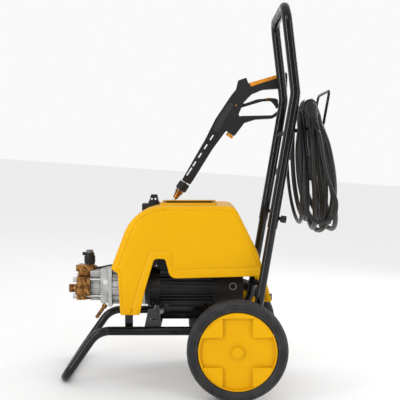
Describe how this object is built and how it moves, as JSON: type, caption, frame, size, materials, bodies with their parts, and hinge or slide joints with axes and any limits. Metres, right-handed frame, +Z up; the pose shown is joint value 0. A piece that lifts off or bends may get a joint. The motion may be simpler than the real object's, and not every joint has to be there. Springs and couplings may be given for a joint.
{
  "type": "pressure washer",
  "caption": "Trolley pressure washer: tube frame on two wheels, covered motor and brass-headed pump, telescoping handle, spray gun, coiled cable and hose.",
  "frame": {"origin": "on the ground, under the middle of the machine's box without its cords", "axes": "+Z up, +X from the pump towards the wheels and handle, +Y to the side where the gun is stored"},
  "size_m": [0.6903, 0.443, 0.9929],
  "materials": {
    "black_paint": "gloss black powder coat",
    "grey_plate": "zinc-plated, dull",
    "bright_steel": "plain machined steel",
    "rubber": "matt black rubber",
    "motor_paint": "satin black paint on cast aluminium",
    "black_plastic": "moulded, fine texture",
    "winding": "varnished copper winding in a steel stack",
    "lamination": "stacked sheet steel",
    "cast_aluminium": "as cast, shot blasted",
    "brass": "forged and machined",
    "yellow_plastic": "warm yellow, satin gloss",
    "tyre": "solid rubber with ribbed side walls",
    "orange_plastic": "orange moulding",
    "cable_sheath": "smooth black rubber sheath",
    "hose_sheath": "black rubber over wire braid"
  },
  "bodies": {
    "root": {"frame_tube_left": "black_paint", "frame_tube_right": "black_paint", "front_foot": "black_paint", "cross_bars": "black_paint", "axle_plates": "black_paint", "axle": "bright_steel", "motor_brackets": "grey_plate", "rubber_mounts": "rubber", "motor_base": "black_paint", "screws": "bright_steel", "motor_housing": "motor_paint", "stator": "winding", "end_shields": "motor_paint", "fan_cowl": "black_plastic", "terminal_box": "black_plastic", "capacitor": "black_plastic", "cable_gland": "rubber", "bearings": "bright_steel", "pump_bell": "cast_aluminium", "crankcase": "cast_aluminium", "pistons": "bright_steel", "pump_head": "brass", "tie_bolts": "bright_steel", "outlet_connector": "brass", "water_inlet": "brass", "unloader_body": "brass", "bypass_tube": "rubber", "chemical_barb": "brass", "cover_shell": "yellow_plastic", "top_tray": "black_plastic", "switch_base": "black_plastic", "lance_holster": "black_paint"},
    "rotor": {"motor_shaft": "bright_steel", "rotor_core": "lamination", "cooling_fan": "black_plastic", "swash_plate": "bright_steel"},
    "pressure_knob": {"pressure_knob": "black_plastic"},
    "switch_knob": {"switch_knob": "black_plastic"},
    "handle": {"handle_tube": "black_paint", "handle_crossbar": "black_paint", "hose_hook": "black_paint", "power_cable": "cable_sheath", "power_cable_coil": "cable_sheath", "power_plug": "black_plastic", "hose_coil": "hose_sheath", "hose_fittings": "brass"},
    "clamp_knob_left": {"clamp_knob_left": "black_plastic"},
    "clamp_knob_right": {"clamp_knob_right": "black_plastic"},
    "wheel_left": {"tyre_left": "tyre", "rim_left": "yellow_plastic", "hub_cap_left": "yellow_plastic"},
    "wheel_right": {"tyre_right": "tyre", "rim_right": "yellow_plastic", "hub_cap_right": "yellow_plastic"},
    "gun": {"gun_body": "black_plastic", "gun_trim": "orange_plastic", "lance_nut": "black_plastic", "lance_tube": "bright_steel"},
    "trigger": {"trigger": "black_plastic"},
    "trigger_catch": {"trigger_catch": "orange_plastic"}
  },
  "joints": [
    {"name": "shaft_spin", "type": "hinge", "parent": "root", "child": "rotor", "pos_m": [0.0272, 0, 0.2483], "axis": [0.9976, 0, 0.0694], "continuous": true},
    {"name": "pressure_knob_turn", "type": "hinge", "parent": "root", "child": "pressure_knob", "pos_m": [-0.2723, 0, 0.30263], "axis": [-0.0694, 0, 0.9976], "range_deg": [0, 300]},
    {"name": "switch_turn", "type": "hinge", "parent": "root", "child": "switch_knob", "pos_m": [-0.11113, 0, 0.46422], "axis": [-0.0694, 0, 0.9976], "range_deg": [0, 90]},
    {"name": "handle_slide", "type": "slide", "parent": "root", "child": "handle", "axis": [0.0979, 0, 0.9952], "range_m": [-0.12, 0], "deforming": ["power_cable"]},
    {"name": "clamp_screw_left", "type": "hinge", "parent": "handle", "child": "clamp_knob_left", "pos_m": [0.19749, -0.15, 0.45462], "axis": [0.9952, 0, -0.0979], "range_deg": [-270, 0]},
    {"name": "clamp_screw_right", "type": "hinge", "parent": "handle", "child": "clamp_knob_right", "pos_m": [0.19749, 0.15, 0.45462], "axis": [0.9952, 0, -0.0979], "range_deg": [-270, 0]},
    {"name": "wheel_left_spin", "type": "hinge", "parent": "root", "child": "wheel_left", "pos_m": [0.128, -0.196, 0.125], "axis": [0, 1, 0], "continuous": true},
    {"name": "wheel_right_spin", "type": "hinge", "parent": "root", "child": "wheel_right", "pos_m": [0.128, 0.196, 0.125], "axis": [0, 1, 0], "continuous": true},
    {"name": "gun_lift", "type": "slide", "parent": "root", "child": "gun", "axis": [0.4897, 0, 0.8719], "range_m": [0, 0.3]},
    {"name": "trigger_pull", "type": "hinge", "parent": "gun", "child": "trigger", "pos_m": [0.09579, 0.183, 0.74626], "axis": [0, -1, 0], "range_deg": [0, 10], "stiffness_Nm_per_rad": 0.6, "springref_deg": -11.46},
    {"name": "safety_catch_turn", "type": "hinge", "parent": "trigger", "child": "trigger_catch", "pos_m": [0.18246, 0.183, 0.76833], "axis": [0, 1, 0], "range_deg": [0, 60], "stiffness_Nm_per_rad": 0.02, "springref_deg": -17.19}
  ]
}
